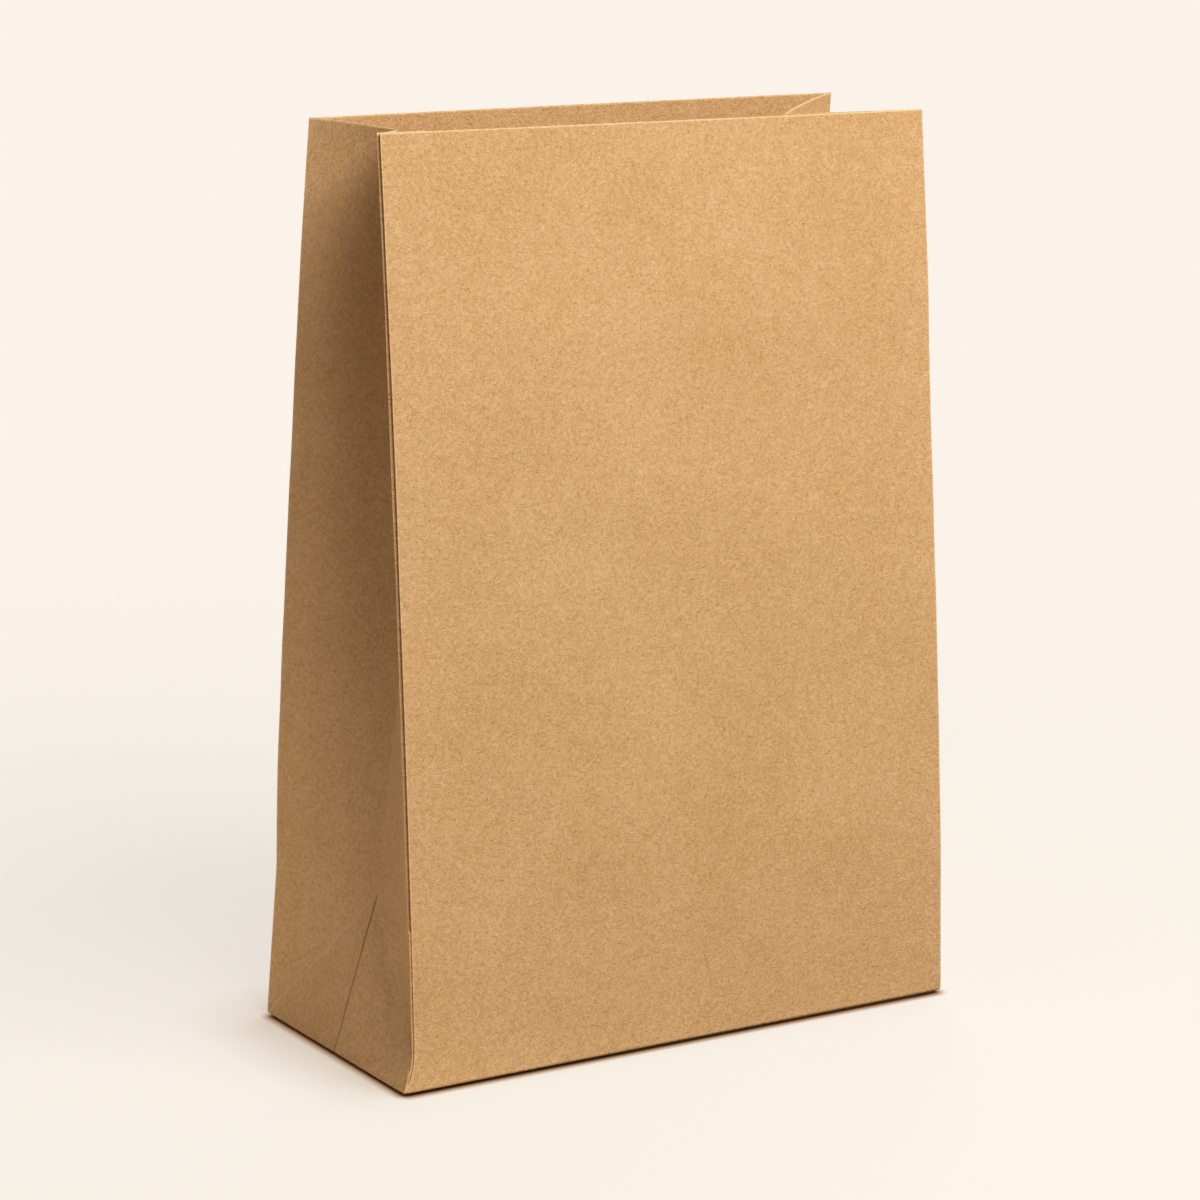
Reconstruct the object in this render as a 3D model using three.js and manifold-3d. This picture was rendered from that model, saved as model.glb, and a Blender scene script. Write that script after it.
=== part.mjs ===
// Brown paper lunch bag: one kraft sheet, folded and glued to a block bottom bag that stands open.
// Millimetres, +Z up. The origin is on the ground under the middle of the base, and -Y is the front.
import * as THREE from 'three';
import { mergeVertices } from 'three/addons/utils/BufferGeometryUtils.js';
import Module from 'manifold-3d';

// Overall sizes
const BASE_WIDTH = 190;
const BASE_DEPTH = 82;
const PANEL_LENGTH = 270.3; // of paper, from the fold of the base to the cut edge of the mouth
const PAPER = 0.35;

// The mouth, which is narrower than the base because both panels lean in
const MOUTH_DEPTH = 43.3;
const FRONT_LEAN = 22.3; // how far the mouth's front edge stands behind the base's
const FRONT_MOUTH_WIDTH = 187.2;
const BACK_MOUTH_WIDTH = 184.6;
const FRONT_MOUTH_TWIST = 1.4; // how far each front corner is turned, the left one forwards
const BACK_MOUTH_TWIST = 2.4;
const FRONT_MOUTH_SKEW = 0.6; // by which the cut edge stands higher on the left and lower on the right
const BACK_MOUTH_SKEW = 0.2;
const FRONT_BOW = 0.8; // of the front panel's middle at the mouth, outwards
const BACK_BOW = 1.5;

// The horizontal crease, along which the base folds flat against the back
const CREASE_HEIGHT = 46.5;
const CREASE_SET_IN = 1.9; // of both rear corners at the crease
const FRONT_SET_BACK = 3; // of the front corners at the crease's height

// The gussets
const APEX_DEPTH = 14; // of the base triangles' tips, from the sides of the base
const LEFT_FOLD_DEPTH = 20.8; // of the centre fold at the mouth, from the side of the base
const RIGHT_FOLD_DEPTH = 35;
const FOLD_BACKSET = 5; // of the centre fold at the mouth, behind the middle of the base
const FOLD_DROP = 1.8; // of the centre fold's end, under the mouth's corners
const GUSSET_BOW = 1.6; // of each half gusset between its edges, into the bag
const TRIANGLE_BULGE = 1.7; // of the base triangles, outwards along their centre crease
const TURNED_FOLD_BOW = 1.35; // power of the bow in the fold that runs to the turned corner

// Slopes of the corner edges above the crease: outwards, and back, for each unit of height
const REAR_KNEE_SLOPE = [0, -0.02];
const REAR_MOUTH_SLOPE = [-0.006, -0.1];
const RIGHT_FRONT_KNEE_SLOPE = [-0.008, 0.07];
const RIGHT_FRONT_MOUTH_SLOPE = [-0.004, 0.1];
const LEFT_FRONT_KNEE_SLOPE = [0.006, 0.07];
const LEFT_FRONT_MOUTH_SLOPE = [0.008, 0.1];
const LEFT_FOLD_KNEE_SLOPE = [-0.1, 0.02];
const LEFT_FOLD_MOUTH_SLOPE = [0.25, 0.02];
const RIGHT_FOLD_KNEE_SLOPE = [-0.14, 0.02];
const RIGHT_FOLD_MOUTH_SLOPE = [-0.03, 0.02];

// The front left corner, where the panel's cut edge laps over the glue flap
const LAP_SET_BACK = 0.55; // of the panel's cut edge, from the fold beside it
const LAP_GAP = 0.5; // under the panel's edge, above the crease
const LAP_GAP_BELOW = 0.12; // under the panel's edge, where it is pressed down at the base
const LAP_OPEN_WIDTH = 1.3; // from the panel's edge to the glue line
const LAP_SPRING = 1; // height above the crease over which the lap springs open
const GLUE_FLAP_WIDTH = 12;
const FOLD_NOSE = 0.4; // across the blunted fold beside the lap
const EDGE_START = 4; // height at which the panel's free edge leaves the ground corner
const EDGE_ROOT = 1; // length of the free edge's strip inside the panel
const EDGE_THINNING = 0.1; // share of the paper that the free edge is thinner by, on each face
const EAR_HEIGHT = 12; // of the turned corner at the base's front left
const EAR_SET_IN = 3.1; // of the fold above the turned corner

// The glued flaps under the base
const BOTTOM_LAP = 16; // by which the back flap covers the front flap
const BOTTOM_SEAM = 0.3; // open line along the back flap's free edge
const FLAP_INSET = 0.25; // of the flaps' folded edges, from the walls

// Fineness of the surface
const LEVELS_BELOW_CREASE = 9;
const LEVELS_ABOVE_CREASE = 15;
const PANEL_STEPS = 8;
const HALF_GUSSET_STEPS = 4;
const HALF_TRIANGLE_STEPS = 3;
const MERGE_DISTANCE = 1e-4; // within which two points are one
const MITRE_DAMPING = 0.02; // keeps the mitre of a nearly flat fold where its faces are

const KRAFT = { color: 0xc49a66, roughness: 0.92, metalness: 0 };

const HALF_WIDTH = BASE_WIDTH / 2;
const HALF_DEPTH = BASE_DEPTH / 2;
const BACK_LEAN = BASE_DEPTH - MOUTH_DEPTH - FRONT_LEAN;
const OVERLAP = 0.1; // by which joined solids share material

const wasm = await Module();
wasm.setup();

// A panel of fixed paper length that leans stands a little lower than its length.
const standing = (lean) => Math.sqrt(PANEL_LENGTH ** 2 - lean ** 2);
const FRONT_HEIGHT = standing(FRONT_LEAN);
const BACK_HEIGHT = standing(BACK_LEAN);
const KNEE = CREASE_HEIGHT / FRONT_HEIGHT; // the crease's place along a rail that goes from 0 to 1

// A rail is one edge or fold of the bag as a curve from the ground, at 0, to the mouth, at 1. It goes
// straight to the crease and then on in one sweep. side is -1 on the left and 1 on the right.
function makeRail({ side, foot, knee, mouth, kneeSlope, mouthSlope }) {
  const reach = (mouth.z - knee.z) / 3;
  const along = ([outwards, back]) => new THREE.Vector3(side * outwards, back, 1).multiplyScalar(reach);
  const leaving = along(kneeSlope).add(knee);
  const arriving = mouth.clone().sub(along(mouthSlope));
  const sweep = new THREE.CubicBezierCurve3(knee, leaving, arriving, mouth);
  return (v) => (v < KNEE
    ? foot.clone().lerp(knee, v / KNEE)
    : sweep.getPoint((v - KNEE) / (1 - KNEE)));
}

const kneeAt = (x, y) => new THREE.Vector3(x, y, CREASE_HEIGHT);

const backCorner = (side) => makeRail({
  side,
  foot: new THREE.Vector3(side * HALF_WIDTH, HALF_DEPTH, PAPER),
  knee: kneeAt(side * (HALF_WIDTH - CREASE_SET_IN), HALF_DEPTH - CREASE_SET_IN),
  mouth: new THREE.Vector3(
    side * BACK_MOUTH_WIDTH / 2,
    HALF_DEPTH - BACK_LEAN + side * BACK_MOUTH_TWIST,
    BACK_HEIGHT - side * BACK_MOUTH_SKEW,
  ),
  kneeSlope: REAR_KNEE_SLOPE,
  mouthSlope: REAR_MOUTH_SLOPE,
});

// setIn is how far in the edge stands at the ground and at the crease.
const frontCorner = (side, setIn, kneeSlope, mouthSlope) => makeRail({
  side,
  foot: new THREE.Vector3(side * (HALF_WIDTH - setIn), -HALF_DEPTH, PAPER),
  knee: kneeAt(side * (HALF_WIDTH - setIn), -HALF_DEPTH + FRONT_SET_BACK),
  mouth: new THREE.Vector3(
    side * FRONT_MOUTH_WIDTH / 2,
    -HALF_DEPTH + FRONT_LEAN + side * FRONT_MOUTH_TWIST,
    FRONT_HEIGHT - side * FRONT_MOUTH_SKEW,
  ),
  kneeSlope,
  mouthSlope,
});
const rightFrontCorner = frontCorner(1, 0, RIGHT_FRONT_KNEE_SLOPE, RIGHT_FRONT_MOUTH_SLOPE);
const leftFrontFoldAboveEar = frontCorner(-1, EAR_SET_IN, LEFT_FRONT_KNEE_SLOPE, LEFT_FRONT_MOUTH_SLOPE);

// Below the ear's height the left front fold swings out to the ground corner in a quarter curve.
function leftFrontFold(v) {
  const point = leftFrontFoldAboveEar(v);
  const drop = Math.max(0, 1 - (point.z - PAPER) / EAR_HEIGHT);
  point.x -= EAR_SET_IN * drop ** 2;
  return point;
}

const apex = (side) => kneeAt(side * (HALF_WIDTH - APEX_DEPTH), 0);

// The centre fold of a gusset, above the base triangle's tip
const centreFold = (side, depth, kneeSlope, mouthSlope) => makeRail({
  side,
  foot: apex(side),
  knee: apex(side),
  mouth: new THREE.Vector3(side * (HALF_WIDTH - depth), FOLD_BACKSET, FRONT_HEIGHT - FOLD_DROP),
  kneeSlope,
  mouthSlope,
});
const leftCentreFold = centreFold(-1, LEFT_FOLD_DEPTH, LEFT_FOLD_KNEE_SLOPE, LEFT_FOLD_MOUTH_SLOPE);
const rightCentreFold = centreFold(1, RIGHT_FOLD_DEPTH, RIGHT_FOLD_KNEE_SLOPE, RIGHT_FOLD_MOUTH_SLOPE);

// A diagonal fold of a base triangle at height v, from the ground corner to the tip. towards is -1 for the
// front one and 1 for the rear one. The turned corner bows its fold towards the corner.
function diagonalFold(side, towards, turned, v) {
  const rise = v / KNEE;
  const run = turned ? (1 - rise ** 2) ** TURNED_FOLD_BOW : 1 - rise;
  return new THREE.Vector3(
    side * (HALF_WIDTH - APEX_DEPTH * rise),
    towards * HALF_DEPTH * run,
    PAPER + (CREASE_HEIGHT - PAPER) * rise,
  );
}

// Points from start to end, without the end, bowed sideways by an arch that is highest halfway.
function bowedRow(start, end, steps, bow) {
  return Array.from({ length: steps }, (_, i) => {
    const share = i / steps;
    return start.clone().lerp(end, share).addScaledVector(bow, 4 * share * (1 - share));
  });
}

// How far height v is above the crease, from 0 up to it to 1 at the mouth
const aboveCrease = (v) => Math.max(0, (v - KNEE) / (1 - KNEE));

// A gusset's section at height v, from its front corner to its rear corner, without the latter.
function gussetRow(side, v, front, back, centre, turned) {
  const inward = new THREE.Vector3(-side, 0, 0);
  const above = v >= KNEE;
  const valleyFront = above ? centre(v) : diagonalFold(side, -1, turned, v);
  const valleyBack = above ? centre(v) : diagonalFold(side, 1, false, v);
  const middle = above
    ? centre(v)
    : valleyFront.clone().lerp(valleyBack, 0.5).setY(0)
      .addScaledVector(inward, -TRIANGLE_BULGE * 4 * (v / KNEE) * (1 - v / KNEE));
  const bow = inward.clone().multiplyScalar(GUSSET_BOW * aboveCrease(v));
  return [
    ...bowedRow(front, valleyFront, HALF_GUSSET_STEPS, bow),
    ...bowedRow(valleyFront, middle, HALF_TRIANGLE_STEPS, new THREE.Vector3()),
    ...bowedRow(middle, valleyBack, HALF_TRIANGLE_STEPS, new THREE.Vector3()),
    ...bowedRow(valleyBack, back, HALF_GUSSET_STEPS, bow),
  ];
}

// How far open the lap stands at height v. It is pressed down at the base and grows out of the ground corner.
function lapAt(v) {
  const height = v * FRONT_HEIGHT;
  const gap = height > CREASE_HEIGHT ? LAP_GAP : LAP_GAP_BELOW;
  const grown = Math.min(1, height / EAR_HEIGHT);
  return { grown, depth: (PAPER + gap) * grown };
}

// The front panel's section, from the right front corner to the glue line beside the left front fold
function frontRow(v) {
  const { grown, depth } = lapAt(v);
  const glueLine = leftFrontFold(v);
  glueLine.x += (LAP_SET_BACK + LAP_OPEN_WIDTH) * grown + depth;
  const bow = new THREE.Vector3(0, -FRONT_BOW * aboveCrease(v), 0);
  return [...bowedRow(rightFrontCorner(v), glueLine, PANEL_STEPS, bow), glueLine];
}

// The lap's section: from the glue line one paper and the gap back onto the glue flap, which runs out to the
// blunted fold. The gusset starts where this row ends.
function lapRow(v) {
  const { grown, depth } = lapAt(v);
  const nose = FOLD_NOSE * grown;
  const fold = leftFrontFold(v);
  const at = (x, y) => new THREE.Vector3(fold.x + x, fold.y + y, fold.z);
  return [
    at((LAP_SET_BACK + LAP_OPEN_WIDTH) * grown, depth),
    at(nose, depth),
    at(0, depth + nose),
  ];
}

// The back panel's section, from the left rear corner to the right one, without the latter
function backRow(v) {
  const bow = new THREE.Vector3(0, BACK_BOW * aboveCrease(v), 0);
  return bowedRow(backCorner(-1)(v), backCorner(1)(v), PANEL_STEPS, bow);
}

// The whole section at height v, clockwise seen from above, starting at the right front corner.
function section(v) {
  const lap = lapRow(v);
  const rightFront = rightFrontCorner(v);
  const rightBack = backCorner(1)(v);
  const rightGusset = [...gussetRow(1, v, rightFront, rightBack, rightCentreFold, false), rightBack];
  return [
    ...frontRow(v),
    ...lap.slice(0, -1),
    ...gussetRow(-1, v, lap.at(-1), backCorner(-1)(v), leftCentreFold, true),
    ...backRow(v),
    ...rightGusset.slice(1).reverse(),
  ];
}

// Heights of the sections, as shares of a rail: closer together under the crease, with one just above it
const sprung = KNEE + LAP_SPRING / FRONT_HEIGHT;
const heights = [
  ...Array.from({ length: LEVELS_BELOW_CREASE }, (_, i) => KNEE * (i / LEVELS_BELOW_CREASE)),
  KNEE,
  ...Array.from({ length: LEVELS_ABOVE_CREASE }, (_, i) => sprung + (1 - sprung) * (i / LEVELS_ABOVE_CREASE)),
  1,
];

// An indexed surface from triangles of points: equal points are one, and collapsed triangles are dropped.
function surfaceFrom(triangles) {
  const geometry = new THREE.BufferGeometry().setFromPoints(triangles.flat());
  const merged = mergeVertices(geometry, MERGE_DISTANCE);
  const corners = merged.index.array;
  const faces = [];
  for (let i = 0; i < corners.length; i += 3) {
    const [a, b, c] = corners.slice(i, i + 3);
    if (a !== b && b !== c && c !== a) faces.push([a, b, c]);
  }
  const position = merged.getAttribute('position');
  const pointAt = (_, i) => new THREE.Vector3().fromBufferAttribute(position, i);
  const points = Array.from({ length: position.count }, pointAt);
  return { points, faces };
}

// The two triangles of each cell between rows of points, facing left of the way along the rows
function cellsBetween(rows, closed) {
  const triangles = [];
  for (let i = 0; i + 1 < rows.length; i += 1) {
    const count = rows[i].length;
    for (let j = 0; j < (closed ? count : count - 1); j += 1) {
      const next = (j + 1) % count;
      const [a, b, c, d] = [rows[i][j], rows[i + 1][j], rows[i + 1][next], rows[i][next]];
      triangles.push([a, b, c], [a, c, d]);
    }
  }
  return triangles;
}

// Gives a surface the paper's thickness on its back, with mitred folds: each point moves so that every face
// around it moves back by the thickness.
function thicken({ points, faces }, thickness) {
  const sums = points.map(() => ({ matrix: new Float64Array(9), vector: new THREE.Vector3() }));
  for (const face of faces) {
    const [a, b, c] = face.map((i) => points[i]);
    const cross = b.clone().sub(a).cross(c.clone().sub(a));
    const area = cross.length();
    const normal = cross.divideScalar(area);
    const n = normal.toArray();
    for (const i of face) {
      for (let k = 0; k < 9; k += 1) sums[i].matrix[k] += area * n[Math.floor(k / 3)] * n[k % 3];
      sums[i].vector.addScaledVector(normal, -area * thickness);
    }
  }
  const backs = points.map((point, i) => {
    const { matrix, vector } = sums[i];
    const damping = MITRE_DAMPING * (matrix[0] + matrix[4] + matrix[8]);
    const solve = new THREE.Matrix3().fromArray(matrix);
    for (const k of [0, 4, 8]) solve.elements[k] += damping;
    const shift = vector.clone().applyMatrix3(solve.invert());
    return point.clone().add(shift.multiplyScalar(1 + MITRE_DAMPING));
  });
  const count = points.length;
  const open = new Map();
  for (const face of faces) {
    face.forEach((from, k) => {
      const to = face[(k + 1) % 3];
      if (!open.delete(`${to},${from}`)) open.set(`${from},${to}`, [from, to]);
    });
  }
  const rim = [...open.values()].flatMap(([from, to]) => [
    [to, from, from + count],
    [to, from + count, to + count],
  ]);
  return {
    points: [...points, ...backs],
    faces: [...faces, ...faces.map(([a, b, c]) => [a + count, c + count, b + count]), ...rim],
  };
}

const solidFrom = ({ points, faces }) => new wasm.Manifold(new wasm.Mesh({
  numProp: 3,
  vertProperties: new Float32Array(points.flatMap((point) => point.toArray())),
  triVerts: new Uint32Array(faces.flat()),
}));

// Walls and floor: the sections joined level by level, and a floor of triangles round its middle
function foldedSheet() {
  const rows = heights.map(section);
  const ground = rows[0];
  const middle = new THREE.Vector3(0, 0, PAPER);
  const floor = ground.map((point, j) => [point, ground[(j + 1) % ground.length], middle]);
  return solidFrom(thicken(surfaceFrom([...cellsBetween(rows, true), ...floor]), PAPER));
}

// A strip of paper that follows the front panel, behind its surface, in the sections above a height. reachAt
// gives its two edges' distances from the glue line at height v, to the right.
function panelStrip(reachAt, sunk, thickness, firstHeight) {
  const rows = heights.filter((v) => v * FRONT_HEIGHT > firstHeight).map((v) => {
    const [beside, glueLine] = frontRow(v).slice(-2);
    const across = beside.sub(glueLine).normalize();
    const behind = glueLine.clone().setY(glueLine.y + sunk);
    return reachAt(v).map((distance) => behind.clone().addScaledVector(across, distance));
  });
  return solidFrom(thicken(surfaceFrom(cellsBetween(rows, false)), thickness));
}

// The panel's free edge, which stands open over the glue flap
function freeEdge() {
  const reachAt = (v) => {
    const { grown, depth } = lapAt(v);
    return [EDGE_ROOT, -LAP_OPEN_WIDTH * grown - depth];
  };
  return panelStrip(reachAt, PAPER * EDGE_THINNING, PAPER * (1 - 2 * EDGE_THINNING), EDGE_START);
}

// The glue flap's layer behind the panel
const glueFlap = () => panelStrip(() => [GLUE_FLAP_WIDTH, 0], PAPER - OVERLAP, PAPER + OVERLAP, 0);

// A glued flap under the base: its sides run in at 45 degrees from the base's corners to its free edge.
function bottomFlap(towards, endsAt) {
  const folded = HALF_DEPTH - FLAP_INSET;
  const reach = HALF_DEPTH - towards * endsAt;
  const outline = new THREE.Shape([
    new THREE.Vector2(-HALF_WIDTH + FLAP_INSET, towards * folded),
    new THREE.Vector2(HALF_WIDTH - FLAP_INSET, towards * folded),
    new THREE.Vector2(HALF_WIDTH - reach, endsAt),
    new THREE.Vector2(-HALF_WIDTH + reach, endsAt),
  ]);
  const plate = new THREE.ExtrudeGeometry(outline, { depth: PAPER + OVERLAP, bevelEnabled: false });
  plate.deleteAttribute('normal');
  plate.deleteAttribute('uv');
  const merged = mergeVertices(plate);
  return new wasm.Manifold(new wasm.Mesh({
    numProp: 3,
    vertProperties: new Float32Array(merged.getAttribute('position').array),
    triVerts: new Uint32Array(merged.index.array),
  }));
}

function paperBag() {
  const backFlapEnd = -BOTTOM_LAP / 2;
  const solid = foldedSheet()
    .add(freeEdge())
    .add(glueFlap())
    .add(bottomFlap(1, backFlapEnd))
    .add(bottomFlap(-1, backFlapEnd - BOTTOM_SEAM));
  const { vertProperties, triVerts } = solid.getMesh();
  const geometry = new THREE.BufferGeometry();
  geometry.setAttribute('position', new THREE.BufferAttribute(vertProperties, 3));
  geometry.setIndex(new THREE.BufferAttribute(triVerts, 1));
  geometry.computeVertexNormals();
  const mesh = new THREE.Mesh(geometry, new THREE.MeshStandardMaterial(KRAFT));
  mesh.name = 'paper_bag';
  return mesh;
}

const group = new THREE.Group();
group.add(paperBag());

export default group;
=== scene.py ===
"""Brown paper lunch bag: the looks of one kraft sheet, folded and glued to a block bottom bag.

The sheet is modelled from a straight box by cuts, moves, splits and extrusions, and then gets its
thickness, its slack and its paper finish. The sheet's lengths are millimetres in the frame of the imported
model, and those of the finishes and the studio are metres.
"""

import logging
import math
from collections.abc import Callable
from dataclasses import dataclass
from enum import Enum

import bmesh
import bpy
from mathutils import Matrix, Vector


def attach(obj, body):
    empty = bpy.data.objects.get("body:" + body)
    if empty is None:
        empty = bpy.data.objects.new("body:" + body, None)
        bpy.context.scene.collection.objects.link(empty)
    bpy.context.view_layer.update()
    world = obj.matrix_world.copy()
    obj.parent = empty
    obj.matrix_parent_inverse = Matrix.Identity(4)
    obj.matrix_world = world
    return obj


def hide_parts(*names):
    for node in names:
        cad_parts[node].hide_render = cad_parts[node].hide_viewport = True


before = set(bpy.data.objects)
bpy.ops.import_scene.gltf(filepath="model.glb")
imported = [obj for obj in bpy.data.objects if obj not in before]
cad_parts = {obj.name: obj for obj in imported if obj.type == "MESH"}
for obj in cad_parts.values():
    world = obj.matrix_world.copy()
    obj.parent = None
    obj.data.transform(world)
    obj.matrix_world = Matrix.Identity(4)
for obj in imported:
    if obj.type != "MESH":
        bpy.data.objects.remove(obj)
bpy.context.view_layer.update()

log = logging.getLogger("paper_bag")

MM = 0.001
NODE = "paper_bag"
BODY = "root"
PHOTO_SIDE = 1200
NEAR = 0.05 * MM
SAME = 0.01 * MM
FACING = 0.9
UPWARD = 0.5

CHANNELS = ("Red", "Green", "Blue")

Colour = tuple[float, float, float]
Place = tuple[float, float, float]
Pair = tuple[float, float]
Socket = bpy.types.NodeSocket
Values = dict[str | int, object]


class Side(Enum):
    """The bag's two sides, as the sign of X."""

    LEFT = -1
    RIGHT = 1


class Finish(Enum):
    """Places of the sheet's materials in its material slots."""

    FACE = 0
    CUT_EDGE = 1


def linear(red: int, green: int, blue: int) -> Colour:
    """Turn a colour as it is seen on a screen into the shader's linear values.

    Args:
        red: Red, 0 to 255.
        green: Green, 0 to 255.
        blue: Blue, 0 to 255.

    Returns:
        The linear colour.
    """
    parts = [value / 255 for value in (red, green, blue)]
    return tuple(p / 12.92 if p <= 0.04045 else ((p + 0.055) / 1.055) ** 2.4 for p in parts)


def arch(share: float) -> float:
    """Give a curve that rises from 0 to 1 at half and falls to 0 again."""
    return 4 * share * (1 - share)


def late_arch(share: float) -> float:
    """Give a curve that starts flat, is 1 at two thirds and falls to 0."""
    return 27 / 4 * share**2 * (1 - share)


# Modelling by hand


def deselect_objects() -> None:
    """Deselect every object."""
    bpy.ops.object.select_all(action="DESELECT")


def activate(piece: bpy.types.Object) -> None:
    """Select one object alone and make it the active one.

    Args:
        piece: The object to work on.
    """
    deselect_objects()
    piece.select_set(True)
    bpy.context.view_layer.objects.active = piece


def edit(piece: bpy.types.Object) -> bmesh.types.BMesh:
    """Open an object in edit mode with nothing selected.

    Args:
        piece: The object to edit.

    Returns:
        Its edit mesh, for selecting by place.
    """
    activate(piece)
    bpy.ops.object.mode_set(mode="EDIT")
    bpy.ops.mesh.select_all(action="DESELECT")
    return bmesh.from_edit_mesh(piece.data)


def leave_edit() -> None:
    """Go back to object mode."""
    bpy.ops.object.mode_set(mode="OBJECT")


def pick(piece: bpy.types.Object, kind: str, wanted: Callable[[object], bool]) -> None:
    """Select only the vertices, edges or faces that a test picks, in edit mode.

    Args:
        piece: The object in edit mode.
        kind: "VERT", "EDGE" or "FACE".
        wanted: The test.
    """
    bpy.ops.mesh.select_mode(type=kind)
    bpy.ops.mesh.select_all(action="DESELECT")
    mesh = bmesh.from_edit_mesh(piece.data)
    parts = {"VERT": mesh.verts, "EDGE": mesh.edges, "FACE": mesh.faces}[kind]
    for part in parts:
        if wanted(part):
            part.select_set(True)
    mesh.select_flush_mode()
    bmesh.update_edit_mesh(piece.data)


def apply_modifiers(piece: bpy.types.Object) -> None:
    """Apply every modifier of an object in order.

    Args:
        piece: The object.
    """
    activate(piece)
    for name in [modifier.name for modifier in piece.modifiers]:
        bpy.ops.object.modifier_apply(modifier=name)


# Shader graphs


@dataclass
class Graph:
    """A short way to write a node tree."""

    tree: bpy.types.NodeTree

    @classmethod
    def emptied(cls, owner: bpy.types.Material | bpy.types.World) -> "Graph":
        """Take the node tree of a material or a world, with nothing in it.

        Args:
            owner: The material or the world.

        Returns:
            The graph.
        """
        owner.use_nodes = True
        owner.node_tree.nodes.clear()
        return cls(owner.node_tree)

    def node(self, kind: str, values: Values | None = None, **options: object) -> bpy.types.Node:
        """Add a node.

        Args:
            kind: The node's type name.
            values: Input names or numbers and their values, or the sockets they are linked from.
            options: The node's own settings.

        Returns:
            The node.
        """
        made = self.tree.nodes.new(kind)
        for name, option in options.items():
            setattr(made, name, option)
        for name, value in (values or {}).items():
            if isinstance(value, Socket):
                self.tree.links.new(value, made.inputs[name])
            else:
                made.inputs[name].default_value = value
        return made

    def maths(self, operation: str, *values: object) -> Socket:
        """Add a Math node of an operation on values or sockets, and give its result."""
        return self.node("ShaderNodeMath", dict(enumerate(values)), operation=operation).outputs[0]

    def vectors(self, operation: str, *values: object) -> bpy.types.bpy_prop_collection:
        """Add a Vector Math node of an operation on values or sockets, and give its outputs."""
        return self.node("ShaderNodeVectorMath", dict(enumerate(values)), operation=operation).outputs

    def colour(self, parts: list[object]) -> Socket:
        """Join red, green and blue, as values or sockets, to a colour."""
        return self.node("ShaderNodeCombineColor", dict(zip(CHANNELS, parts))).outputs[0]

    def blend(self, share: object, first: object, second: object, way: str = "MIX") -> Socket:
        """Blend two colours.

        Args:
            share: The second colour's share.
            first: The first colour.
            second: The second colour.
            way: The blend type.

        Returns:
            The blended colour.
        """
        inputs = {0: share, 6: first, 7: second}
        return self.node("ShaderNodeMix", inputs, data_type="RGBA", blend_type=way).outputs[2]

    def choose(self, share: object, first: Socket, second: Socket) -> Socket:
        """Mix two shaders by the second one's share."""
        return self.node("ShaderNodeMixShader", {0: share, 1: first, 2: second}).outputs[0]

    def stretched(self, source: Socket, scale: Pair, turn: float) -> Socket:
        """Turn a flat pattern by an angle and then scale it along its two ways.

        Args:
            source: The pattern's coordinates.
            scale: Features for each metre along each way.
            turn: The turn in degrees.

        Returns:
            The new coordinates.
        """
        rotation = (0, 0, math.radians(turn))
        turned = self.node("ShaderNodeMapping", {"Vector": source, "Rotation": rotation}).outputs[0]
        return self.node("ShaderNodeMapping", {"Vector": turned, "Scale": (*scale, 1)}).outputs[0]

    def noise(self, coordinates: Socket, scale: float, detail: float, rough: float) -> Socket:
        """Add a flat noise.

        Args:
            coordinates: Where it is read.
            scale: Its features for each unit.
            detail: Its number of finer layers.
            rough: How strong the finer layers are.

        Returns:
            Its value, about 0.5 on average.
        """
        inputs = {"Vector": coordinates, "Scale": scale, "Detail": detail, "Roughness": rough}
        return self.node("ShaderNodeTexNoise", inputs, noise_dimensions="2D").outputs[0]

    def spread(self, value: Socket, start: float, end: float, to: Pair = (0, 1)) -> Socket:
        """Map a range of a value onto another, smoothly, and clamp it there.

        Args:
            value: The value.
            start: Where the range starts.
            end: Where it ends.
            to: The range that it becomes.

        Returns:
            The mapped value.
        """
        inputs = {"Value": value, "From Min": start, "From Max": end, "To Min": to[0], "To Max": to[1]}
        return self.node("ShaderNodeMapRange", inputs, interpolation_type="SMOOTHSTEP").outputs[0]


# The paper's finish


@dataclass(frozen=True)
class Cloud:
    """One layer of the pulp's cloudy formation.

    Attributes:
        turn: Its turn in degrees.
        scale: Its features for each metre.
        detail: Its number of finer layers.
        rough: How strong the finer layers are.
        share: Its share of the mottle.
    """

    turn: float
    scale: float
    detail: float
    rough: float
    share: float


@dataclass(frozen=True)
class Fibres:
    """One layer of fibres.

    Attributes:
        turn: Its turn in degrees.
        along: Its features for each metre along the fibres.
        across: Its features for each metre across them.
    """

    turn: float
    along: float
    across: float


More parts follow.
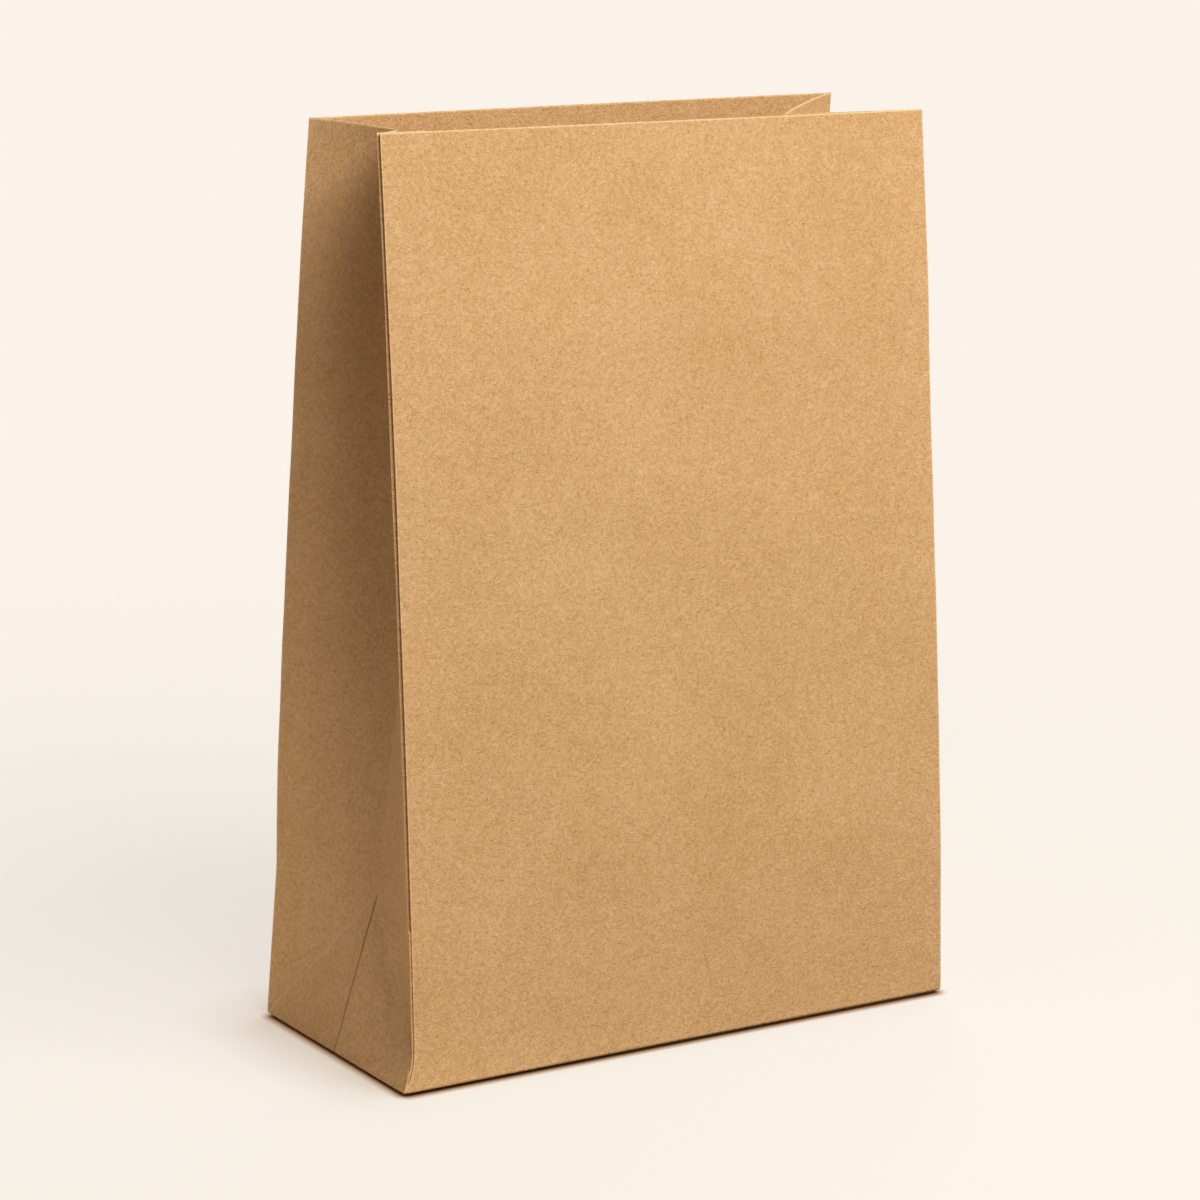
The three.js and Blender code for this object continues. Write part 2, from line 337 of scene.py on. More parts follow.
@dataclass(frozen=True)
class Pulp:
    """The shared effect of kraft pulp: its cloudy formation, its fibres and its specks.

    Attributes:
        clouds: The layers of the formation.
        streaks: The layers of long fibres, pale and dark.
        dashes: The layers of short dark fibres.
        pale_range: Noise levels between which a pale fibre comes up.
        dark_range: Noise levels between which a dark fibre comes up.
        dash_range: The same for a short dark fibre.
        streak_detail: The finer layers of a long fibre.
        fibre_rough: How strong the finer layers of all fibres are.
        dark_share: Strength of the dark fibres beside the pale ones.
        curl_scale: Features for each metre of the drift that curls the fibres.
        curl_detail: The drift's number of finer layers.
        curl: How far the drift moves the fibres, in metres.
        speck_scale: Bark specks for each metre.
        speck_edge: Distances from a speck's middle between which it comes up.
        speck_chance: Chances between which a place gets its speck.
        mottle_relief: The formation's share of the relief.
        fibre_relief: The fibres' share of the relief.
    """

    clouds: tuple[Cloud, ...] = (
        Cloud(0, 24, 3, 0.55, 0.42), Cloud(31, 190, 3, 0.6, 0.5), Cloud(57, 760, 2, 0.8, 1.25),
    )
    streaks: tuple[Fibres, ...] = (
        Fibres(12, 330, 2200), Fibres(71, 420, 2000), Fibres(-52, 300, 2300), Fibres(101, 520, 2400),
        Fibres(-24, 380, 2100),
    )
    dashes: tuple[Fibres, ...] = (Fibres(84, 800, 2900), Fibres(97, 800, 2900))
    pale_range: Pair = (0.64, 0.75)
    dark_range: Pair = (0.35, 0.24)
    dash_range: Pair = (0.27, 0.17)
    streak_detail: float = 1.2
    fibre_rough: float = 0.5
    dark_share: float = 1.15
    curl_scale: float = 260.0
    curl_detail: float = 2.0
    curl: float = 0.0022
    speck_scale: float = 140.0
    speck_edge: Pair = (0.06, 0.02)
    speck_chance: Pair = (0.9, 1.0)
    mottle_relief: float = 0.8
    fibre_relief: float = 0.5

    def build(self) -> bpy.types.NodeTree:
        """Build the group.

        Returns:
            The group. Tone is a factor about 1 on the colour, Speck a mask and Relief a height.
        """
        tree = bpy.data.node_groups.new("kraft_pulp", "ShaderNodeTree")
        for name, kind, way in (
            ("Vector", "NodeSocketVector", "INPUT"),
            ("Mottle", "NodeSocketFloat", "INPUT"),
            ("Fibre", "NodeSocketFloat", "INPUT"),
            ("Tone", "NodeSocketFloat", "OUTPUT"),
            ("Speck", "NodeSocketFloat", "OUTPUT"),
            ("Relief", "NodeSocketFloat", "OUTPUT"),
        ):
            tree.interface.new_socket(name, in_out=way, socket_type=kind)
        graph = Graph(tree)
        given = graph.node("NodeGroupInput").outputs
        curled = self.curled(graph, given["Vector"])
        mottle = self.mottle(graph, given["Vector"])
        fibres = self.fibres(graph, curled)
        tone = graph.maths("ADD", 1.0, graph.maths("MULTIPLY", mottle, given["Mottle"]))
        tone = graph.maths("ADD", tone, graph.maths("MULTIPLY", fibres, given["Fibre"]))
        relief = graph.maths("ADD", graph.maths("MULTIPLY", mottle, self.mottle_relief),
                             graph.maths("MULTIPLY", fibres, self.fibre_relief))
        results = {"Tone": tone, "Speck": self.specks(graph, curled), "Relief": relief}
        graph.node("NodeGroupOutput", results)
        return tree

    def curled(self, graph: Graph, flat: Socket) -> Socket:
        """Let the coordinates drift a little, so that fibres read there are curled.

        Args:
            graph: The group's graph.
            flat: The flat sheet's coordinates.

        Returns:
            The curled coordinates.
        """
        inputs = {"Vector": flat, "Scale": self.curl_scale, "Detail": self.curl_detail}
        drift = graph.node("ShaderNodeTexNoise", inputs, noise_dimensions="2D").outputs["Color"]
        centred = graph.vectors("SUBTRACT", drift, (0.5, 0.5, 0.5))[0]
        small = graph.node("ShaderNodeVectorMath", {0: centred, "Scale": self.curl}, operation="SCALE")
        return graph.vectors("ADD", flat, small.outputs[0])[0]

    def mottle(self, graph: Graph, flat: Socket) -> Socket:
        """Add up the layers of the cloudy formation.

        Args:
            graph: The group's graph.
            flat: The flat sheet's coordinates.

        Returns:
            The mottle, about 0 on average.
        """
        total = 0.0
        for layer in self.clouds:
            turned = graph.stretched(flat, (1, 1), layer.turn)
            cloud = graph.noise(turned, layer.scale, layer.detail, layer.rough)
            part = graph.maths("MULTIPLY", graph.maths("SUBTRACT", cloud, 0.5), layer.share)
            total = graph.maths("ADD", total, part)
        return total

    def fibres(self, graph: Graph, curled: Socket) -> Socket:
        """Lay pale and dark fibres over one another.

        Args:
            graph: The group's graph.
            curled: The curled coordinates.

        Returns:
            The fibres, above 0 where they are pale and below it where they are dark.
        """
        pale, dark = 0.0, 0.0
        for layer in self.streaks:
            place = graph.stretched(curled, (layer.along, layer.across), layer.turn)
            streak = graph.noise(place, 1, self.streak_detail, self.fibre_rough)
            pale = graph.maths("MAXIMUM", pale, graph.spread(streak, *self.pale_range))
            dark = graph.maths("MAXIMUM", dark, graph.spread(streak, *self.dark_range))
        for layer in self.dashes:
            place = graph.stretched(curled, (layer.along, layer.across), layer.turn)
            dash = graph.noise(place, 1, 0, self.fibre_rough)
            dark = graph.maths("ADD", dark, graph.spread(dash, *self.dash_range))
        return graph.maths("SUBTRACT", pale, graph.maths("MULTIPLY", dark, self.dark_share))

    def specks(self, graph: Graph, curled: Socket) -> Socket:
        """Scatter a few bark specks.

        Args:
            graph: The group's graph.
            curled: The curled coordinates.

        Returns:
            The specks' mask.
        """
        inputs = {"Vector": curled, "Scale": self.speck_scale}
        cells = graph.node("ShaderNodeTexVoronoi", inputs, voronoi_dimensions="2D").outputs
        chance = graph.node("ShaderNodeSeparateColor", {"Color": cells["Color"]}).outputs[0]
        dot = graph.spread(cells["Distance"], *self.speck_edge)
        return graph.maths("MULTIPLY", dot, graph.spread(chance, *self.speck_chance))


@dataclass(frozen=True)
class WearHighlightShadeLines:
    """Where the flat sheet is folded or cut, in metres on its UV map, with pale lines that are partly rubbed
    fibres and partly painted highlight, and painted shade in the centre creases.

    Attributes:
        half_width: Half of a panel.
        half_depth: Half of a side.
        crease: Height of the crease.
        height: Height of the cut edge.
        fade: Distance from a fold at which its pale line has faded.
        core: Distance up to which it is full.
        edge_core: The same for the cut edge.
        scored_fade: Distance at which the line along the crease has faded.
        crease_shade_fade: Distance at which the painted shade in the pressed crease has faded.
        crease_shade_core: Distance up to which it is full.
        edge_gap: Distance from a corner up to which it is bare, as the flap beside the cut edge is.
        corner_strength: How pale the corners are.
        diagonal_strength: How pale the base triangles' diagonals are.
        scored_strength: How pale the crease is.
        scored_from: Shares of half a side, counted round from the front, between which the crease comes up.
    """

    half_width: float
    half_depth: float
    crease: float
    height: float
    fade: float = 0.0006
    core: float = 0.0001
    edge_core: float = 0.0002
    scored_fade: float = 0.0004
    crease_shade_fade: float = 0.0004
    crease_shade_core: float = 0.00015
    edge_gap: float = 0.00002
    corner_strength: float = 0.4
    diagonal_strength: float = 0.3
    scored_strength: float = 0.25
    scored_from: Pair = (1.65, 1.85)

    def masks(self, graph: Graph, flat: Socket) -> tuple[Socket, Socket]:
        """Make the masks of the pale lines, partly rubbed fibres and partly painted highlight, and of the
        painted shade in the centre creases.

        Args:
            graph: The material's graph.
            flat: The flat sheet's coordinates.

        Returns:
            The pale mask and the dark mask.
        """

        def between(first: object, second: object) -> Socket:
            """Give how far two values are apart."""
            return graph.maths("ABSOLUTE", graph.maths("SUBTRACT", first, second))

        along, up = graph.node("ShaderNodeSeparateXYZ", {"Vector": flat}).outputs[:2]
        round_front = graph.maths("ABSOLUTE", along)
        from_middle = between(round_front, self.half_width + self.half_depth)
        to_corner = between(from_middle, self.half_depth)
        left_to_crease = graph.maths("SUBTRACT", self.crease, up)
        slant = graph.maths("MULTIPLY", left_to_crease, self.half_depth / self.crease)
        below = graph.maths("GREATER_THAN", slant, 0.0)
        in_triangle = graph.maths("MULTIPLY", below, graph.maths("LESS_THAN", from_middle, self.half_depth))

        # Pale lines along corners, diagonals, cut edge and crease: partly rubbed fibres, partly painted
        # highlight.
        corner = graph.spread(to_corner, self.fade, self.core, (0, self.corner_strength))
        corner = graph.maths("MULTIPLY", corner, graph.maths("GREATER_THAN", to_corner, self.edge_gap))
        to_diagonal = between(from_middle, slant)
        diagonal = graph.spread(to_diagonal, self.fade, self.core, (0, self.diagonal_strength))
        cut = graph.spread(graph.maths("SUBTRACT", self.height, up), self.fade, self.edge_core)
        to_crease = between(up, self.crease)
        scored = graph.spread(to_crease, self.scored_fade, self.core, (0, self.scored_strength))
        starts, ends = (self.half_width + share * self.half_depth for share in self.scored_from)
        scored = graph.maths("MULTIPLY", scored, graph.spread(round_front, starts, ends))
        pale = graph.maths("MAXIMUM", corner, graph.maths("MULTIPLY", diagonal, in_triangle))
        pale = graph.maths("MAXIMUM", pale, cut)
        pale = graph.maths("MAXIMUM", pale, scored)
        # Painted shade along the centre crease of each base triangle.
        pressed = graph.spread(from_middle, self.crease_shade_fade, self.crease_shade_core)
        return pale, graph.maths("MULTIPLY", pressed, in_triangle)


@dataclass(frozen=True)
class KraftPaper:
    """A kraft finish: brown pulp with fibres and specks.

    Attributes:
        name: The material's name.
        colour: The pulp's mean colour, linear.
        speck_colour: The bark specks' colour, linear.
        mottle: Strength of the cloudy formation.
        fibre: Strength of the fibres.
        roughness: The mean roughness.
        rough_spread: How far the roughness goes from its mean.
        tone_range: The tones at which it gets there.
        gloss: The shader's specular level.
        relief: Height of the surface's grain, in metres.
        red_power: How strongly red follows the pulp's tone, where green is 1.
        blue_power: How strongly blue does.
        speck_strength: How much a speck covers.
        wear_highlight_and_shade: The folds and cut edges, where the face shows their rubbed fibres, painted
            highlight and painted shade.
        wear_and_highlight_colour: The pale lines along folds and cuts, partly rubbed fibres and partly
            painted highlight, linear.
        wear_and_highlight_strength: How much they cover.
        crease_shade_colour: Painted shade at the bottom of the pressed crease, linear.
        crease_shade_strength: How much it covers.
    """

    name: str
    colour: Colour
    speck_colour: Colour = linear(120, 80, 42)
    mottle: float = 0.425
    fibre: float = 0.075
    roughness: float = 0.86
    rough_spread: float = 0.05
    tone_range: Pair = (0.85, 1.15)
    gloss: float = 0.28
    relief: float = 0.00009
    red_power: float = 0.72
    blue_power: float = 1.75
    speck_strength: float = 0.55
    wear_highlight_and_shade: WearHighlightShadeLines | None = None
    # Pale fold and cut lines: partly rubbed fibres, partly painted highlight.
    wear_and_highlight_colour: Colour = linear(250, 210, 158)
    wear_and_highlight_strength: float = 0.75
    # Painted shade in the pressed centre creases.
    crease_shade_colour: Colour = linear(104, 64, 28)
    crease_shade_strength: float = 0.7

    def build(self, pulp: bpy.types.NodeTree) -> bpy.types.Material:
        """Make the material.

        Args:
            pulp: The shared group of formation, fibres and specks.

        Returns:
            The material.
        """
        material = bpy.data.materials.new(self.name)
        graph = Graph.emptied(material)
        flat = graph.node("ShaderNodeUVMap", uv_map="paper").outputs[0]
        inputs = {"Vector": flat, "Mottle": self.mottle, "Fibre": self.fibre}
        paper = graph.node("ShaderNodeGroup", inputs, node_tree=pulp).outputs
        tone = paper["Tone"]
        warmth = graph.colour(
            [graph.maths("POWER", tone, self.red_power), tone, graph.maths("POWER", tone, self.blue_power)])
        colour = graph.blend(1, (*self.colour, 1), warmth, "MULTIPLY")
        covers = [(paper["Speck"], self.speck_strength, self.speck_colour)]
        if self.wear_highlight_and_shade:
            pale, pressed = self.wear_highlight_and_shade.masks(graph, flat)
            # Pale fold and cut lines: partly rubbed fibres, partly painted highlight.
            covers.append((pale, self.wear_and_highlight_strength, self.wear_and_highlight_colour))
            # Painted shade along the base triangles' centre creases.
            covers.append((pressed, self.crease_shade_strength, self.crease_shade_colour))
        for mask, strength, shade in covers:
            colour = graph.blend(graph.maths("MULTIPLY", mask, strength), colour, (*shade, 1))
        rougher, smoother = self.roughness + self.rough_spread, self.roughness - self.rough_spread
        inputs = {"Height": paper["Relief"], "Distance": self.relief, "Strength": 1.0}
        bump = graph.node("ShaderNodeBump", inputs)
        shader = graph.node("ShaderNodeBsdfPrincipled", {
            "Base Color": colour,
            "Roughness": graph.spread(tone, *self.tone_range, (rougher, smoother)),
            "Normal": bump.outputs[0],
            "Specular IOR Level": self.gloss,
        })
        graph.node("ShaderNodeOutputMaterial", {"Surface": shader.outputs[0]})
        return material


# The bag


@dataclass
class Rail:
    """One edge or fold of the bag as a curve from the ground, at 0, to the mouth, at 1.

    Attributes:
        foot: The point on the ground.
        knee: The point at the crease.
        mouth: The point at the cut edge.
        knee_slope: X and Y for each unit of Z just above the crease.
        mouth_slope: X and Y for each unit of Z at the mouth.
        knee_share: The crease's place between 0 and 1.
    """

    foot: Vector
    knee: Vector
    mouth: Vector
    knee_slope: Pair
    mouth_slope: Pair
    knee_share: float

    def at(self, share: float) -> Vector:
        """Give the point at a share of the height.

        Args:
            share: From 0 at the ground to 1 at the mouth.

        Returns:
            The point.
        """
        if share < self.knee_share:
            return self.foot.lerp(self.knee, share / self.knee_share)
        reach = (self.mouth.z - self.knee.z) / 3
        leaving = self.knee + Vector((*self.knee_slope, 1)) * reach
        arriving = self.mouth - Vector((*self.mouth_slope, 1)) * reach
        t = (share - self.knee_share) / (1 - self.knee_share)
        s = 1 - t
        return self.knee * s**3 + leaving * (3 * s * s * t) + arriving * (3 * s * t * t) + self.mouth * t**3


@dataclass
class BagSheet:
    """The folded sheet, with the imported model's sizes and those of its looks, in millimetres.

    Attributes:
        base_width: The base's width.
        base_depth: Its depth.
        panel_length: Paper from the ground to the mouth.
        paper: The paper's thickness.
        mouth_depth: The mouth's depth at its middle.
        front_lean: How far the front panel leans back.
        front_mouth_width: Its width at the mouth.
        back_mouth_width: The back panel's width there.
        front_twist: How far the front's mouth corners are turned, one back and one forward.
        back_twist: The same at the back.
        front_skew: How far they stand lower and higher.
        back_skew: The same at the back.
        front_bow: How far the front panel bows out at the mouth.
        back_bow: The same at the back.
        crease_height: Height of the crease where the base folds flat.
        crease_set_in: How far the rear corners are set in there.
        front_set_back: How far the front corners are set back there.
        apex_depth: How deep the base triangles' tips are set in.
        left_fold_depth: Depth of the left gusset's fold at the mouth.
        right_fold_depth: Depth of the right one's.
        fold_backset: How far behind the middle both end.
        left_fold_drop: How far the left fold ends below the mouth's corners.
        right_fold_drop: How far the right one does.
        front_knee_slope: The right front corner's slope above the crease, as X and Y for each unit of Z.
        left_knee_slope: The left one's.
        left_mouth_slope: The left front corner's slope at the mouth.
        right_mouth_slope: The right one's.
        rear_knee_slope: The rear corners' slope above the crease.
        rear_mouth_slope: Their slope at the mouth, with X towards the middle.
        left_fold_slopes: The left fold's slopes above the crease and at the mouth.
        right_fold_slopes: The right fold's.
        gusset_bow: How far the gussets' halves are hollow.
        hollow_height: Height at which they are fully so.
        triangle_bulge: How far the triangles' centre creases bulge.
        triangle_dish: How far the triangles' halves are dished.
        turned_fold_bow: Power of the bow in the fold that runs to the turned corner.
        lap_set_back: How far the panel's cut edge stands back from the fold at the lap.
        lap_gap: Open line between the cut edge and its glue flap, above the crease.
        lap_gap_below: The same below it.
        lap_open_width: Width of the flap that lies open.
        lap_spring: Height over which the lap opens above the crease.
        glue_flap_width: Width of the glue flap.
        flap_lift: How far the flap's foot stands above the base's fold.
        ear_height: Height over which the front left corner turns out to the ground.
        ear_set_in: How far it is set in above that.
        ear_flare: How far the turned corner flares.
        glue_line: Thickness of the glue.
        crease_width: Width of the pressed centre creases.
        crease_press: Their depth.
        crisp_angle: Angle in degrees from which a fold stays crisp.
        bottom_lap: How far the bottom's flaps lap.
        bottom_seam: Open line at the front one's edge.
        base_layers: Thickness of the flaps under the base.
        fold_round: Bevel of the folds round the base.
        flap_inset: How far the bottom's flaps stand in from those folds.
        flap_corner: Bevel of their cut corners.
        slack_start: Height from which the paper is slack.
        slack_rise: Height over which it gets fully so.
        waves: For each layer of waves its name, its length and its height.
        flap_clear: How far the bottom's flaps stay clear of the base.
        flap_near: How near the glue flap's free edge lies to the lap's fold, in Y.
        lap_growth: Height over which the lap grows out of the ground corner.
        flare_share: Share of the base triangle's height over which its turned corner flares.
        base_pattern: How far the base lies from the front panel on the UV map, in metres.
        flap_pattern: How far each flap under it lies to the side there.
        front_limit: Y up to which a point is on the front panel.
        panel_span: Reach over which an edge crosses a panel.
        side_reach: Reach in Y over which an edge crosses a side.
        side_length: Least length of such an edge.
        row_height: Most height of such an edge.
        tall_row: Height over which a row is divided.
        share_slack: Share of the height in which an edge counts as above the base triangle.
        levels_below: Levels of the cage up to the crease.
        levels_above: Levels above it.
        panel_columns: Columns in a panel.
        half_gusset_columns: Columns in half a gusset.
        half_triangle_columns: Columns in half a base triangle.
        rows_each_level: Rows that a tall level is divided into.
    """

    base_width: float = 190.0
    base_depth: float = 82.0
    panel_length: float = 270.3
    paper: float = 0.35
    mouth_depth: float = 43.3
    front_lean: float = 22.3
    front_mouth_width: float = 187.2
    back_mouth_width: float = 184.6
    front_twist: float = 1.4
    back_twist: float = 2.4
    front_skew: float = 0.6
    back_skew: float = 0.2
    front_bow: float = 0.8
    back_bow: float = 1.5
    crease_height: float = 46.5
    crease_set_in: float = 1.9
    front_set_back: float = 3.0
    apex_depth: float = 14.0
    left_fold_depth: float = 20.8
    right_fold_depth: float = 35.0
    fold_backset: float = 5.0
    left_fold_drop: float = 1.8
    right_fold_drop: float = 2.8
    front_knee_slope: Pair = (-0.008, 0.07)
    left_knee_slope: Pair = (-0.006, 0.07)
    left_mouth_slope: Pair = (-0.008, 0.1)
    right_mouth_slope: Pair = (-0.004, 0.1)
    rear_knee_slope: Pair = (0, -0.02)
    rear_mouth_slope: Pair = (0.006, -0.1)
    left_fold_slopes: tuple[Pair, Pair] = ((0.1, 0.02), (-0.25, 0.02))
    right_fold_slopes: tuple[Pair, Pair] = ((-0.14, 0.02), (-0.03, 0.02))
    gusset_bow: float = 1.7
    hollow_height: float = 60.0
    triangle_bulge: float = 0.1
    triangle_dish: float = 1.6
    turned_fold_bow: float = 1.35
    lap_set_back: float = 0.55
    lap_gap: float = 0.7
    lap_gap_below: float = 0.12
    lap_open_width: float = 1.3
    lap_spring: float = 1.0
    glue_flap_width: float = 12.0
    flap_lift: float = 1.5
    ear_height: float = 12.0
    ear_set_in: float = 3.1
    ear_flare: float = 0.6
    glue_line: float = 0.03
    crease_width: float = 0.8
    crease_press: float = 0.4
    crisp_angle: float = 12.0
    bottom_lap: float = 16.0
    bottom_seam: float = 0.3
    base_layers: float = 0.85
    fold_round: float = 0.75
    flap_inset: float = 1.6
    flap_corner: float = 0.6
    slack_start: float = 3.0
    slack_rise: float = 45.0
    waves: tuple[tuple[str, float, float], ...] = (("long_wave", 75.0, 1.1), ("short_wave", 22.0, 0.28))
    flap_clear: float = 0.01
    flap_near: float = 2.0
    lap_growth: float = 3.0
    flare_share: float = 0.25
    base_pattern: float = 0.1
    flap_pattern: float = 0.3
    front_limit: float = 10.0
    panel_span: float = 100.0
    side_reach: float = 2.0
    side_length: float = 3.0
    row_height: float = 4.0
    tall_row: float = 10.0
    share_slack: float = 0.001
    levels_below: int = 14
    levels_above: int = 18
    panel_columns: int = 64
    half_gusset_columns: int = 14
    half_triangle_columns: int = 8
    rows_each_level: int = 3

    def __post_init__(self) -> None:
        """Work out the heights, the levels and the rails."""
        self.back_lean = self.base_depth - self.mouth_depth - self.front_lean
        self.front_height = math.sqrt(self.panel_length**2 - self.front_lean**2)
        self.back_height = math.sqrt(self.panel_length**2 - self.back_lean**2)
        self.knee_share = self.crease_height / self.front_height
        sprung = self.knee_share + self.lap_spring / self.front_height
        self.shares = [self.knee_share * i / self.levels_below for i in range(self.levels_below + 1)]
        self.shares += [sprung + (1 - sprung) * i / self.levels_above for i in range(self.levels_above + 1)]
        self.half_width = self.base_width / 2
        self.half_depth = self.base_depth / 2
        self.rear = {side: self._rear_rail(side) for side in Side}
        self.front = {
            Side.RIGHT: self._front_rail(Side.RIGHT, 0, self.front_knee_slope, self.right_mouth_slope),
            Side.LEFT: self._front_rail(
                Side.LEFT, self.ear_set_in, self.left_knee_slope, self.left_mouth_slope),
        }
        self.centre = {
            Side.LEFT: self._centre_rail(
                Side.LEFT, self.left_fold_depth, self.left_fold_drop, *self.left_fold_slopes),
            Side.RIGHT: self._centre_rail(
                Side.RIGHT, self.right_fold_depth, self.right_fold_drop, *self.right_fold_slopes),
        }

    def _rear_rail(self, side: Side) -> Rail:
        """Make a rear corner's rail.

        Args:
            side: The bag's side.

        Returns:
            The rail.
        """
        s = side.value
        knee = self.half_width - self.crease_set_in, self.half_depth - self.crease_set_in
        mouth_y = self.half_depth - self.back_lean + s * self.back_twist
        slope_x, slope_y = self.rear_mouth_slope
        return Rail(
            Vector((s * self.half_width, self.half_depth, self.base_layers)),
            Vector((s * knee[0], knee[1], self.crease_height)),
            Vector((s * self.back_mouth_width / 2, mouth_y, self.back_height - s * self.back_skew)),
            self.rear_knee_slope,
            (-s * slope_x, slope_y),
            self.knee_share,
        )

    def _front_rail(self, side: Side, set_in: float, low: Pair, high: Pair) -> Rail:
        """Make a front corner's rail.

        Args:
            side: The bag's side.
            set_in: How far the corner is set in up to the crease.
            low: Its slope above the crease.
            high: Its slope at the mouth.

        Returns:
            The rail.
        """
        s = side.value
        x = s * (self.half_width - set_in)
        mouth_y = -self.half_depth + self.front_lean + s * self.front_twist
        return Rail(
            Vector((x, -self.half_depth, self.base_layers)),
            Vector((x, -self.half_depth + self.front_set_back, self.crease_height)),
            Vector((s * self.front_mouth_width / 2, mouth_y, self.front_height - s * self.front_skew)),
            low,
            high,
            self.knee_share,
        )

    def _centre_rail(self, side: Side, depth: float, drop: float, low: Pair, high: Pair) -> Rail:
        """Make a gusset's centre fold above the base triangle's tip.

        Args:
            side: The bag's side.
            depth: How deep the fold is at the mouth.
            drop: How far it ends below the mouth's corners.
            low: Its slope above the crease.
            high: Its slope at the mouth.

        Returns:
            The rail, which has no part below the crease.
        """
        s = side.value
        apex = Vector((s * (self.half_width - self.apex_depth), 0, self.crease_height))
        mouth = Vector((s * (self.half_width - depth), self.fold_backset, self.front_height - drop))
        return Rail(apex, apex, mouth, low, high, self.knee_share)

    def left_front_fold(self, share: float) -> Vector:
        """Give the left front fold, which swings out to the ground corner below the ear's height.

        Args:
            share: The share of the height.

        Returns:
            The point.
        """
        point = self.front[Side.LEFT].at(share)
        drop = max(0.0, 1 - (point.z - self.base_layers) / self.ear_height)
        point.x -= (self.ear_set_in + self.ear_flare) * drop**2
        point.y -= self.ear_flare * drop**2
        return point

    def front_corner(self, side: Side, share: float) -> Vector:
        """Give a front corner's fold at a share of the height."""
        return self.left_front_fold(share) if side is Side.LEFT else self.front[side].at(share)

    def diagonal(self, side: Side, towards: int, share: float) -> Vector:
        """Give a base triangle's diagonal fold, from the ground corner to the tip.

        Args:
            side: The bag's side.
            towards: -1 for the front diagonal and 1 for the rear one.
            share: The share of the height, up to the crease.

        Returns:
            The point.
        """
        rise = share / self.knee_share
        turned = side is Side.LEFT and towards < 0
        run = max(0.0, 1 - rise**2) ** self.turned_fold_bow if turned else 1 - rise
        flare = self.ear_flare * max(0.0, 1 - rise / self.flare_share) ** 2 if turned else 0.0
        return Vector((
            side.value * (self.half_width - self.apex_depth * rise + flare),
            towards * (self.half_depth * run + flare),
            self.base_layers + (self.crease_height - self.base_layers) * rise,
        ))

    def middle(self, side: Side, share: float) -> Vector:
        """Give the middle of a side: the triangle's centre crease, and the gusset's centre fold above it.

        Args:
            side: The bag's side.
            share: The share of the height.

        Returns:
            The point.
        """
        if share >= self.knee_share:
            return self.centre[side].at(share)
        point = self.diagonal(side, -1, share).lerp(self.diagonal(side, 1, share), 0.5)
        rise = share / self.knee_share
        point.y = 0
        point.x += side.value * self.triangle_bulge * arch(rise)
        return point

    def lap_at(self, share: float) -> tuple[float, float]:
        """Give how far the lap has grown out of the ground corner, and how deep its flap lies.

        Args:
            share: The share of the height.

        Returns:
            The growth from 0 to 1, and the depth behind the panel's surface.
        """
        height = share * self.front_height
        gap = self.lap_gap if height > self.crease_height + self.lap_spring / 2 else self.lap_gap_below
        grown = min(1.0, height / self.lap_growth)
        return grown, (self.paper + gap) * grown

    # Modelling

    def cage(self) -> bpy.types.Object:
        """Cut a straight box into levels, folds and diagonals.

        Returns:
            The box, open at the top.
        """
        w, d, h = self.half_width, self.half_depth, self.front_height
        deselect_objects()
        size = (2 * w * MM, 2 * d * MM, h * MM)
        bpy.ops.mesh.primitive_cube_add(size=1, location=(0, 0, h / 2 * MM), scale=size)
        piece = bpy.context.object
        piece.name = NODE + "_sheet"
        bpy.ops.object.transform_apply(location=True, rotation=True, scale=True)
        edit(piece)
        pick(piece, "FACE", lambda face: face.normal.z > FACING)
        bpy.ops.mesh.delete(type="ONLY_FACE")
        for share in self.shares[1:-1]:
            bpy.ops.mesh.select_all(action="SELECT")
            bpy.ops.mesh.bisect(plane_co=(0, 0, share * h * MM), plane_no=(0, 0, 1))
        pick(piece, "FACE", lambda face: abs(face.normal.x) > FACING)
        bpy.ops.mesh.bisect(plane_co=(0, 0, 0), plane_no=(0, 1, 0))
        crease = self.knee_share * h * MM
        for towards in (-1, 1):
            pick(piece, "FACE", lambda face: abs(face.normal.x) > FACING
                 and face.calc_center_median().z < crease and face.calc_center_median().y * towards > 0)
            bpy.ops.mesh.bisect(plane_co=(0, towards * d * MM, 0), plane_no=(0, crease, towards * d * MM))
        leave_edit()
        return piece

    def lay_pattern(self, piece: bpy.types.Object) -> None:
        """Lay the flat paper's own measures, in metres, on the straight box as its UV map.

        Args:
            piece: The straight box.
        """
        w, d = self.half_width * MM, self.half_depth * MM
        data = piece.data
        layer = data.uv_layers[0]
        layer.name = "paper"
        for face in data.polygons:
            n = face.normal
            for loop in face.loop_indices:
                x, y, z = data.vertices[data.loops[loop].vertex_index].co
                if abs(n.z) > FACING:
                    place = (x, y - self.base_pattern)
                elif n.y < -FACING:
                    place = (x, z)
                elif n.x > FACING:
                    place = (w + d + y, z)
                elif n.y > FACING:
                    place = (2 * w + 2 * d - x, z)
                else:
                    place = (-w - d - y, z)
                layer.data[loop].uv = place

